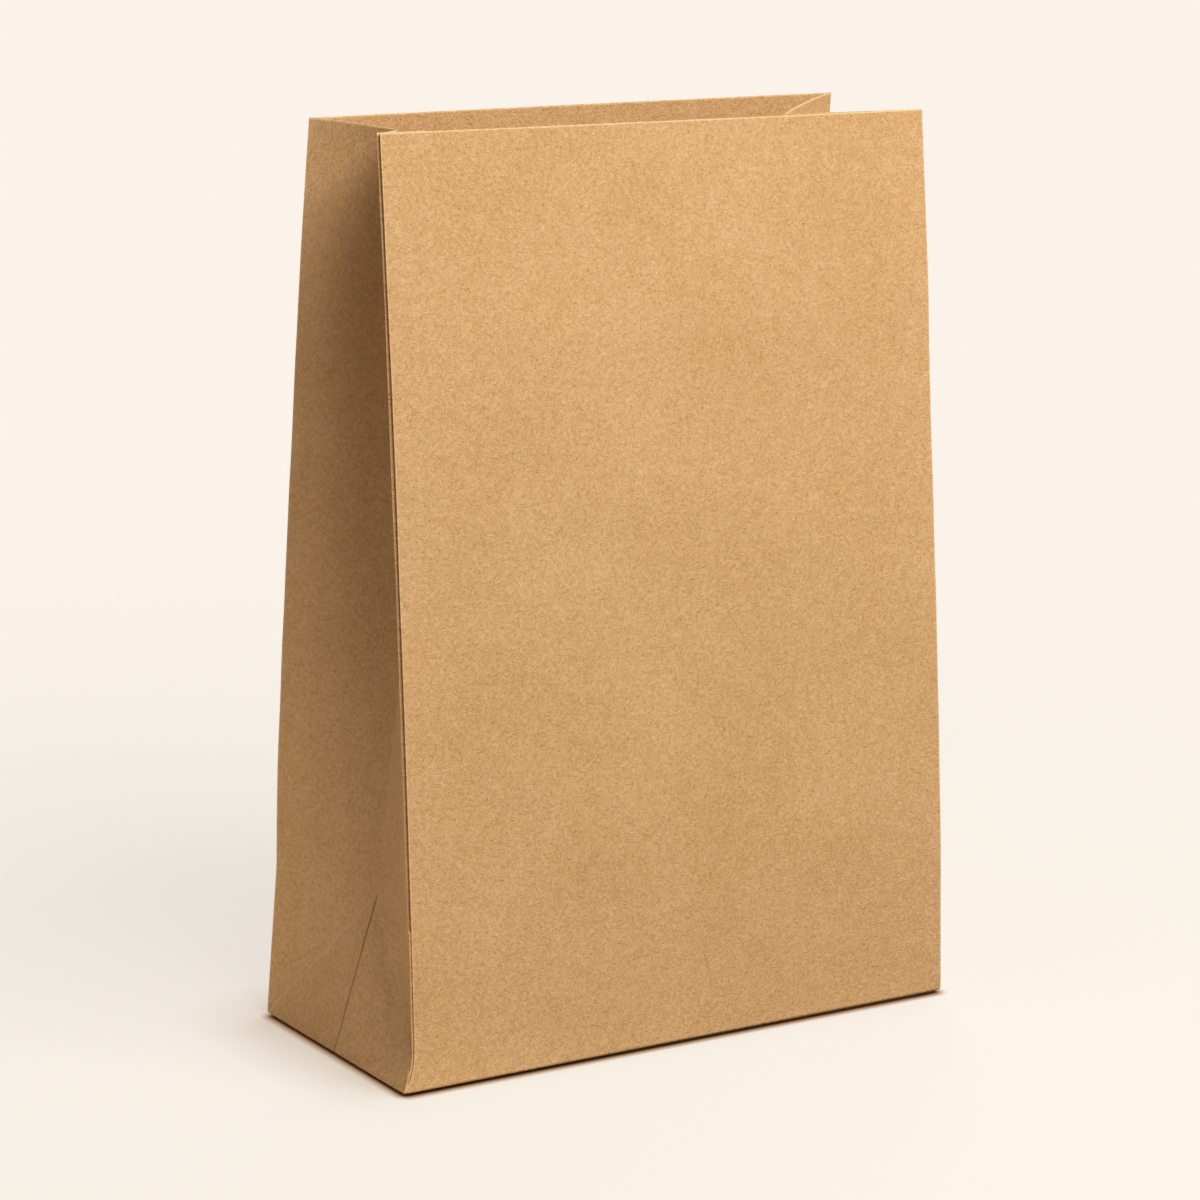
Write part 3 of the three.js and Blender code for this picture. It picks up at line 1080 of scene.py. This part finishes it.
    def fold(self, piece: bpy.types.Object) -> None:
        """Move every point of the cage from the straight box to its fold.

        Args:
            piece: The cage.
        """
        h = self.front_height
        mesh = edit(piece)
        bpy.ops.mesh.select_mode(type="VERT")
        moves = []
        for vertex in mesh.verts:
            share = min(self.shares, key=lambda s: abs(s * h * MM - vertex.co.z))
            side = Side.LEFT if vertex.co.x < 0 else Side.RIGHT
            y = vertex.co.y
            if abs(y) < SAME:
                goal = self.middle(side, share)
            elif abs(abs(y) - self.half_depth * MM) < SAME:
                goal = self.front_corner(side, share) if y < 0 else self.rear[side].at(share)
            else:
                goal = self.diagonal(side, 1 if y > 0 else -1, share)
            moves.append((vertex.index, goal * MM - vertex.co))
        for index, move in moves:
            mesh.verts.ensure_lookup_table()
            mesh.verts[index].select_set(True)
            bpy.ops.transform.translate(value=move)
            mesh = bmesh.from_edit_mesh(piece.data)
            mesh.verts.ensure_lookup_table()
            mesh.verts[index].select_set(False)
        leave_edit()

    def press_centre_crease(self, piece: bpy.types.Object) -> None:
        """Press a narrow groove along the centre crease of each base triangle.

        Args:
            piece: The folded cage.
        """
        edit(piece)
        for side in Side:
            line = [self.middle(side, share) * MM for share in self.shares[: self.levels_below]]

            def on_line(vertex: bmesh.types.BMVert, points: list[Vector] = line) -> bool:
                """Tell whether a vertex is on the crease."""
                return any((vertex.co - point).length < NEAR for point in points)

            pick(piece, "EDGE", lambda edge: all(on_line(vertex) for vertex in edge.verts))
            bpy.ops.mesh.bevel(offset=self.crease_width / 2 * MM, segments=2, profile=0.5)
            pick(piece, "VERT", on_line)
            bpy.ops.transform.translate(value=(-side.value * self.crease_press * MM, 0, 0))
        leave_edit()

    def open_lap(self, piece: bpy.types.Object) -> None:
        """Part the panel's cut edge from the gusset, and fold the glue flap in behind the panel.

        Args:
            piece: The folded cage.
        """
        edit(piece)
        folds = {share: self.left_front_fold(share) * MM for share in self.shares}

        def at_fold(vertex: bmesh.types.BMVert, share: float) -> bool:
            """Tell whether a vertex is on the fold, at a share of the height."""
            return (vertex.co - folds[share]).length < NEAR

        def along_fold(edge: bmesh.types.BMEdge) -> bool:
            """Tell whether an edge runs along the fold."""
            return all(any(at_fold(vertex, share) for share in self.shares) for vertex in edge.verts)

        def spans(face: bmesh.types.BMFace) -> bool:
            """Tell whether a face reaches across the bag, as the panels' faces and the base do."""
            return max(vertex.co.x for vertex in face.verts) > 0

        def of_panel(vertex: bmesh.types.BMVert) -> bool:
            """Tell whether a vertex belongs to the panel."""
            return any(spans(face) for face in vertex.link_faces)

        pick(piece, "EDGE", along_fold)
        bpy.ops.mesh.edge_split(type="EDGE")
        for share in self.shares[1:]:
            grown, depth = self.lap_at(share)
            pick(piece, "VERT", lambda vertex: at_fold(vertex, share) and of_panel(vertex))
            bpy.ops.transform.translate(value=(self.lap_set_back * grown * MM, 0, 0))
            pick(piece, "VERT", lambda vertex: at_fold(vertex, share) and not of_panel(vertex))
            bpy.ops.transform.translate(value=(0, depth * MM, 0))
            folds[share] = folds[share] + Vector((0, depth, 0)) * MM
        pick(piece, "EDGE", lambda edge: (
            edge.is_boundary and not spans(edge.link_faces[0]) and along_fold(edge)))
        open_reach = self.lap_set_back + self.lap_open_width
        for reach in (open_reach, self.paper + self.lap_gap, self.glue_flap_width):
            bpy.ops.mesh.extrude_edges_move(TRANSFORM_OT_translate={"value": (reach * MM, 0, 0)})
        self.glue_flap(piece, folds)
        leave_edit()

    def glue_flap(self, piece: bpy.types.Object, folds: dict[float, Vector]) -> None:
        """Lay the extruded glue flap against the inside of the panel.

        Args:
            piece: The sheet, in edit mode.
            folds: The flap's own fold at each share of the height.
        """
        glued = (self.lap_set_back + self.lap_open_width + self.lap_gap) * MM
        wide = self.glue_flap_width * MM
        for share in self.shares:
            depth = self.lap_at(share)[1]
            across = self.front[Side.RIGHT].at(share) - self.left_front_fold(share)
            fold = folds[share]

            def level_with(vertex: bmesh.types.BMVert) -> bool:
                """Tell whether a vertex lies glued, level with the fold."""
                away = vertex.co - fold
                return glued < away.x < 2 * wide and abs(away.y) + abs(away.z) < NEAR

            def at_rim(vertex: bmesh.types.BMVert) -> bool:
                """Tell whether a vertex is on the flap's free edge."""
                away = vertex.co - fold
                level = abs(away.z) < NEAR and abs(away.y) < self.flap_near * MM
                return level and wide < away.x < 2 * wide

            pick(piece, "VERT", level_with)
            bpy.ops.transform.translate(value=(0, (self.paper + self.glue_line - depth) * MM, 0))
            pick(piece, "VERT", at_rim)
            bpy.ops.transform.translate(value=(0, across.y / across.x * wide, 0))
        foot = folds[self.shares[0]]
        pick(piece, "VERT", lambda vertex: (
            self.lap_open_width * MM < vertex.co.x - foot.x < 2 * wide and abs(vertex.co.z - foot.z) < NEAR))
        bpy.ops.transform.translate(value=(0, self.paper * MM, self.flap_lift * MM))

    def refine(self, piece: bpy.types.Object) -> None:
        """Divide the cage into fine columns and rows.

        Args:
            piece: The folded cage, with its lap.
        """
        edit(piece)

        def across(edge: bmesh.types.BMEdge) -> Vector:
            """Give an edge's reach along each axis, in millimetres."""
            step = edge.verts[1].co - edge.verts[0].co
            return Vector((abs(step.x), abs(step.y), abs(step.z))) / MM

        def in_triangle(edge: bmesh.types.BMEdge) -> bool:
            """Tell whether an edge is in a base triangle."""
            centre = (edge.verts[0].co + edge.verts[1].co) / 2 / MM
            share = centre.z / self.front_height
            if share > self.knee_share - self.share_slack:
                return False
            side = Side.LEFT if centre.x < 0 else Side.RIGHT
            front, rear = (self.diagonal(side, towards, max(share, 0)).y for towards in (-1, 1))
            return front < centre.y < rear

        def of_gusset(edge: bmesh.types.BMEdge) -> bool:
            """Tell whether an edge runs across a side, level or nearly so."""
            step = across(edge)
            level = step.z < self.row_height and step.x < self.panel_span
            return level and step.y > self.side_reach and step.length > self.side_length

        pick(piece, "EDGE", lambda edge: across(edge).x > self.panel_span)
        bpy.ops.mesh.subdivide(number_cuts=self.panel_columns - 1)
        pick(piece, "EDGE", lambda edge: of_gusset(edge) and in_triangle(edge))
        bpy.ops.mesh.subdivide(number_cuts=self.half_triangle_columns - 1)
        pick(piece, "EDGE", lambda edge: (
            across(edge).y > self.side_length and of_gusset(edge) and not in_triangle(edge)))
        bpy.ops.mesh.subdivide(number_cuts=self.half_gusset_columns - 1)
        pick(piece, "EDGE", lambda edge: across(edge).z > self.tall_row)
        bpy.ops.mesh.subdivide(number_cuts=self.rows_each_level - 1)
        leave_edit()

    def round_base(self, piece: bpy.types.Object) -> None:
        """Round the folds between the base and the walls.

        Args:
            piece: The fine sheet.
        """
        edit(piece)
        pick(piece, "EDGE", lambda edge: len(edge.link_faces) == 2
             and sorted(abs(face.normal.z) > FACING for face in edge.link_faces) == [False, True])
        bpy.ops.mesh.bevel(offset=self.fold_round * MM, segments=3, profile=0.5)
        leave_edit()

    def relax(self, piece: bpy.types.Object) -> None:
        """Bow the panels, dish the base triangles and hollow the gussets, as the paper's tension does.

        Args:
            piece: The fine sheet.
        """
        data = piece.data
        pattern = data.uv_layers["paper"].data
        places = {}
        for loop in data.loops:
            places[loop.vertex_index] = pattern[loop.index].uv.copy()
        w, d = self.half_width, self.half_depth
        for index, place in places.items():
            vertex = data.vertices[index]
            along, height = place.x / MM, place.y / MM
            if height < 0:
                continue
            from_middle, slant = abs(w + d - abs(along)), d * (1 - height / self.crease_height)
            if abs(along) < w + d and from_middle < slant:
                share, rise = from_middle / slant, height / self.crease_height
                dish = self.triangle_dish * late_arch(share) * arch(rise)
                vertex.co.x -= math.copysign(dish * MM, along)
            above = max(0.0, (height / self.front_height - self.knee_share) / (1 - self.knee_share))
            if abs(along) <= w and vertex.co.y < self.front_limit * MM:
                vertex.co.y -= self.front_bow * above * arch((along + w) / (2 * w)) * MM
            elif along > w + 2 * d:
                vertex.co.y += self.back_bow * above * arch((along - w - 2 * d) / (2 * w)) * MM
            elif from_middle >= slant:
                share = (d - from_middle) / (d - max(0.0, slant)) if slant < d else 0.0
                hollow = self.gusset_bow * min(1.0, height / self.hollow_height) * arch(share)
                vertex.co.x -= math.copysign(hollow * MM, along)

    def slacken(self, piece: bpy.types.Object) -> None:
        """Give the paper its slight waves, which fade out towards the base.

        Args:
            piece: The fine sheet.
        """
        data = piece.data
        slack = piece.vertex_groups.new(name="slack")
        for vertex in data.vertices:
            weight = min(1.0, max(0.0, (vertex.co.z / MM - self.slack_start) / self.slack_rise))
            slack.add([vertex.index], weight, "REPLACE")
        activate(piece)
        for name, length, height in self.waves:
            texture = bpy.data.textures.new(name, type="CLOUDS")
            texture.noise_scale = length * MM
            texture.noise_depth = 1
            bpy.ops.object.modifier_add(type="DISPLACE")
            wave = piece.modifiers[-1]
            wave.texture = texture
            wave.texture_coords = "LOCAL"
            wave.direction = "NORMAL"
            wave.vertex_group = slack.name
            wave.strength = height * MM
            wave.mid_level = 0.5
        apply_modifiers(piece)

    def give_thickness(self, piece: bpy.types.Object) -> None:
        """Give the sheet its thickness, inwards, with a pale cut edge round the mouth.

        Args:
            piece: The fine sheet.
        """
        activate(piece)
        bpy.ops.object.modifier_add(type="SOLIDIFY")
        thickness = piece.modifiers[-1]
        thickness.thickness = self.paper * MM
        thickness.offset = -1
        thickness.use_even_offset = True
        thickness.material_offset_rim = Finish.CUT_EDGE.value
        apply_modifiers(piece)
        for face in piece.data.polygons:
            if face.material_index == Finish.CUT_EDGE.value and face.normal.z < UPWARD:
                face.material_index = Finish.FACE.value

    def bottom_flap(self, towards: int) -> bpy.types.Object:
        """Fold one of the two glued flaps under the base, with ends cut at 45 degrees.

        Args:
            towards: 1 for the back flap and -1 for the front one.

        Returns:
            The flap.
        """
        ends_at = -self.bottom_lap / 2 - (self.bottom_seam if towards < 0 else 0)
        folded = towards * (self.half_depth - self.flap_inset)
        wide = self.half_width - self.flap_inset
        reach = abs(folded - ends_at)
        thick = self.base_layers - self.flap_clear
        deselect_objects()
        bpy.ops.mesh.primitive_cube_add(
            size=1,
            location=(0, (folded + ends_at) / 2 * MM, thick / 2 * MM),
            scale=(2 * wide * MM, reach * MM, thick * MM),
        )
        flap = bpy.context.object
        bpy.ops.object.transform_apply(location=True, rotation=True, scale=True)
        edit(flap)
        pick(flap, "VERT", lambda vertex: (vertex.co.y - ends_at * MM) * towards < NEAR)
        bpy.ops.transform.resize(value=((wide - reach) / wide, 1, 1))
        pick(flap, "EDGE", lambda edge: abs(edge.verts[0].co.z - edge.verts[1].co.z) > thick / 2 * MM)
        bpy.ops.mesh.bevel(offset=self.flap_corner * MM, segments=3)
        leave_edit()
        layer = flap.data.uv_layers[0]
        layer.name = "paper"
        for face in flap.data.polygons:
            for loop in face.loop_indices:
                corner = flap.data.vertices[flap.data.loops[loop].vertex_index].co
                layer.data[loop].uv = (corner.x + towards * self.flap_pattern, corner.y)
        return flap

    def build(self, materials: list[bpy.types.Material]) -> bpy.types.Object:
        """Build the whole bag.

        Args:
            materials: The face's and the cut edge's materials.

        Returns:
            The finished piece.
        """
        piece = self.cage()
        self.lay_pattern(piece)
        self.fold(piece)
        self.press_centre_crease(piece)
        self.open_lap(piece)
        self.refine(piece)
        self.round_base(piece)
        self.relax(piece)
        self.slacken(piece)
        for material in materials:
            piece.data.materials.append(material)
        self.give_thickness(piece)
        flaps = [self.bottom_flap(towards) for towards in (1, -1)]
        for flap in flaps:
            flap.data.materials.append(materials[Finish.FACE.value])
        activate(piece)
        for flap in flaps:
            flap.select_set(True)
        bpy.ops.object.join()
        activate(piece)
        bpy.ops.object.shade_smooth_by_angle(angle=math.radians(self.crisp_angle))
        log.info("%s: %d faces", piece.name, len(piece.data.polygons))
        return piece


# The studio


@dataclass
class PhotoCamera:
    """The camera of the photograph.

    Attributes:
        place: Where it stands, in metres.
        azimuth: Its turn about the vertical in degrees, 0 when it looks along +Y.
        elevation: How far it looks down, in degrees.
        roll: Its turn about its own axis in degrees.
        focal_pixels: Its focal length in pixels of the photograph.
        sensor: Its sensor's width in millimetres.
        clip: The nearest and the farthest thing it sees, in metres.
    """

    place: Place = (-0.64087, -0.98192, 0.39235)
    azimuth: float = -32.89
    elevation: float = 12.82
    roll: float = 1.1
    focal_pixels: float = 4058.0
    sensor: float = 36.0
    clip: Pair = (0.05, 30.0)

    def build(self) -> None:
        """Place the camera and make it the scene's."""
        deselect_objects()
        bpy.ops.object.camera_add(location=self.place)
        camera = bpy.context.object
        camera.name = "photo_camera"
        a, e, r = (math.radians(angle) for angle in (self.azimuth, self.elevation, self.roll))
        back = Vector((math.sin(a) * math.cos(e), -math.cos(a) * math.cos(e), math.sin(e)))
        right = (-back).cross(Vector((0, 0, 1))).normalized()
        down = (-back).cross(right)
        turned_right = right * math.cos(r) - down * math.sin(r)
        turned_down = right * math.sin(r) + down * math.cos(r)
        turn = Matrix((turned_right, -turned_down, back)).transposed()
        camera.rotation_euler = turn.to_euler()
        camera.data.sensor_width = self.sensor
        camera.data.lens = self.focal_pixels * self.sensor / PHOTO_SIDE
        camera.data.clip_start, camera.data.clip_end = self.clip
        bpy.context.scene.camera = camera


@dataclass(frozen=True)
class Lamp:
    """A soft lamp that looks at the bag.

    Attributes:
        name: The lamp's name.
        place: Where it hangs, in metres.
        size: Its width and height in metres.
        power: Its power in watts.
        aim: Where it looks.
    """

    name: str
    place: Place
    size: Pair
    power: float
    aim: Place = (0, 0, 0.15)

    def build(self) -> None:
        """Hang the lamp."""
        deselect_objects()
        bpy.ops.object.light_add(type="AREA", location=self.place)
        lamp = bpy.context.object
        lamp.name = self.name
        lamp.data.shape = "RECTANGLE"
        lamp.data.size, lamp.data.size_y = self.size
        lamp.data.energy = self.power
        sight = Vector(self.aim) - Vector(self.place)
        lamp.rotation_euler = sight.to_track_quat("-Z", "Y").to_euler()


@dataclass
class Studio:
    """A pale floor that fades into a pale backdrop, a wide soft lamp in front, one behind and a soft room.

    Attributes:
        lamps: The lamps.
        floor_size: The floor's length and width in metres.
        floor_colour: The floor's colour near the bag, linear.
        far_colour: The backdrop's colour, linear.
        far_radii: Distances from the bag between which the floor fades into the backdrop, in metres.
        room_colour: The room light's colour.
        room_level: Its strength.
        floor_glow: The floor's share that is always as bright as it is in the photograph.
        floor_matt: Its share that the lamps light, which shows the bag's shadow.
        contact_reach: How far from the bag the floor is dark where the two meet, in metres.
        contact_depths: Powers of the shading for red, green and blue, which make it brown.
        shade_side: The way in which the soft shade beside the bag looks for it.
        shade_reach: How far from the bag that shade goes, in metres.
        shade_share: Its share of the shading.
        shade_samples: Rays with which both are found.
        bounce_at: Middle of the floor's part that throws most light back at the bag.
        bounce_radii: Distances from there between which that falls off, in metres.
        bounce_levels: The floor's brightness for that light, near and far.
        bounce_tint: The colour of that light.
    """

    lamps: tuple[Lamp, ...] = (
        Lamp("key_lamp", (0.165, -0.85, 1.15), (1.2, 0.7), 24.2),
        Lamp("fill_lamp", (0.85, 0.95, 0.6), (1.0, 0.8), 8.0),
    )
    floor_size: float = 40.0
    floor_colour: Colour = linear(253, 246, 236)
    far_colour: Colour = linear(251, 243, 233)
    far_radii: Pair = (0.2, 0.75)
    room_colour: Colour = (1.0, 0.945, 0.87)
    room_level: float = 0.21
    floor_glow: float = 0.75
    floor_matt: float = 0.185
    contact_reach: float = 0.0032
    contact_depths: Colour = (1.9, 2.7, 3.6)
    shade_side: Place = (0.76, -0.5, 0.42)
    shade_reach: float = 0.028
    shade_share: float = 0.14
    shade_samples: int = 8
    bounce_at: Place = (-0.24, 0.14, 0)
    bounce_radii: Pair = (0.1, 0.3)
    bounce_levels: Pair = (1.25, 0.2)
    bounce_tint: Colour = (1.0, 0.93, 0.84)

    def seen(self, graph: Graph) -> Socket:
        """Tell the rays that see the background as it is from those that carry its light.

        Args:
            graph: The material's or the world's graph.

        Returns:
            1 for a ray that sees it, or else 0.
        """
        path = graph.node("ShaderNodeLightPath").outputs
        mirrored = graph.maths("MAXIMUM", path["Is Glossy Ray"], path["Is Transmission Ray"])
        return graph.maths("MAXIMUM", path["Is Camera Ray"], mirrored)

    def shading(self, graph: Graph) -> list[Socket]:
        """Darken the floor where the bag stands on it, and softly on the side away from the light.

        Args:
            graph: The floor's graph.

        Returns:
            The floor's red, green and blue.
        """
        inputs = {"Distance": self.contact_reach}
        contact = graph.node("ShaderNodeAmbientOcclusion", inputs, samples=self.shade_samples)
        side = graph.node("ShaderNodeCombineXYZ", dict(zip("XYZ", self.shade_side)))
        inputs = {"Distance": self.shade_reach, "Normal": side.outputs[0]}
        beside = graph.node("ShaderNodeAmbientOcclusion", inputs, samples=self.shade_samples)
        shade = graph.maths("POWER", beside.outputs["AO"], self.shade_share)
        light = graph.maths("MULTIPLY", contact.outputs["AO"], shade)
        return [
            graph.maths("MULTIPLY", graph.maths("POWER", light, depth), level)
            for depth, level in zip(self.contact_depths, self.floor_colour)
        ]

    def floor_material(self) -> bpy.types.Material:
        """Make the floor's paper-white finish, which keeps the bag's shadow and throws light back beside it.

        Returns:
            The material.
        """
        material = bpy.data.materials.new("studio_floor")
        graph = Graph.emptied(material)
        place = graph.node("ShaderNodeTexCoord").outputs["Object"]
        far = graph.spread(graph.vectors("LENGTH", place)["Value"], *self.far_radii)
        away = graph.vectors("DISTANCE", place, self.bounce_at)["Value"]
        bounce = graph.spread(away, *self.bounce_radii, self.bounce_levels)
        bounced = graph.colour([graph.maths("MULTIPLY", bounce, tint) for tint in self.bounce_tint])
        thrown = graph.node("ShaderNodeBsdfDiffuse", {"Color": bounced})

        shaded = self.shading(graph)
        dull = graph.colour([graph.maths("MULTIPLY", level, self.floor_matt) for level in shaded])
        matt = graph.node("ShaderNodeBsdfDiffuse", {"Color": dull})
        glow = graph.node("ShaderNodeEmission", {"Color": graph.colour(shaded), "Strength": self.floor_glow})
        near = graph.node("ShaderNodeAddShader", {0: matt.outputs[0], 1: glow.outputs[0]})
        even = graph.node("ShaderNodeEmission", {"Color": (*self.far_colour, 1), "Strength": 1.0})
        shown = graph.choose(far, near.outputs[0], even.outputs[0])
        surface = graph.choose(self.seen(graph), thrown.outputs[0], shown)
        graph.node("ShaderNodeOutputMaterial", {"Surface": surface})
        return material

    def room(self) -> bpy.types.World:
        """Make the soft room light round the bag.

        Returns:
            The world.
        """
        world = bpy.data.worlds.new("studio")
        graph = Graph.emptied(world)
        inputs = {"Color": (*self.room_colour, 1), "Strength": self.room_level}
        light = graph.node("ShaderNodeBackground", inputs)
        shown = graph.node("ShaderNodeBackground", {"Color": (*self.far_colour, 1), "Strength": 1.0})
        surface = graph.choose(self.seen(graph), light.outputs[0], shown.outputs[0])
        graph.node("ShaderNodeOutputWorld", {"Surface": surface})
        return world

    def build(self) -> None:
        """Build the floor, the lamps and the room."""
        deselect_objects()
        bpy.ops.mesh.primitive_plane_add(size=self.floor_size, location=(0, 0, 0))
        floor = bpy.context.object
        floor.name = "floor"
        floor.data.materials.append(self.floor_material())
        for lamp in self.lamps:
            lamp.build()
        bpy.context.scene.world = self.room()
        bpy.context.scene.view_settings.view_transform = "Standard"


def main() -> None:
    """Build the camera, the bag and the studio in order."""
    logging.basicConfig(level=logging.INFO, format="%(message)s")
    PhotoCamera().build()
    pulp = Pulp().build()
    sheet = BagSheet()
    places = (sheet.half_width, sheet.half_depth, sheet.crease_height, sheet.front_height)
    # The fold and cut lines carry painted highlight and painted shade besides rubbed fibres.
    lines = WearHighlightShadeLines(*[place * MM for place in places])
    face = KraftPaper("kraft_paper", linear(212, 166, 113), wear_highlight_and_shade=lines).build(pulp)
    cut_edge = KraftPaper("kraft_cut_edge", linear(240, 204, 158), relief=0.0002).build(pulp)
    bag = sheet.build([face, cut_edge])
    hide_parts(NODE)
    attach(bag, BODY)
    Studio().build()


if __name__ == "__main__":
    main()
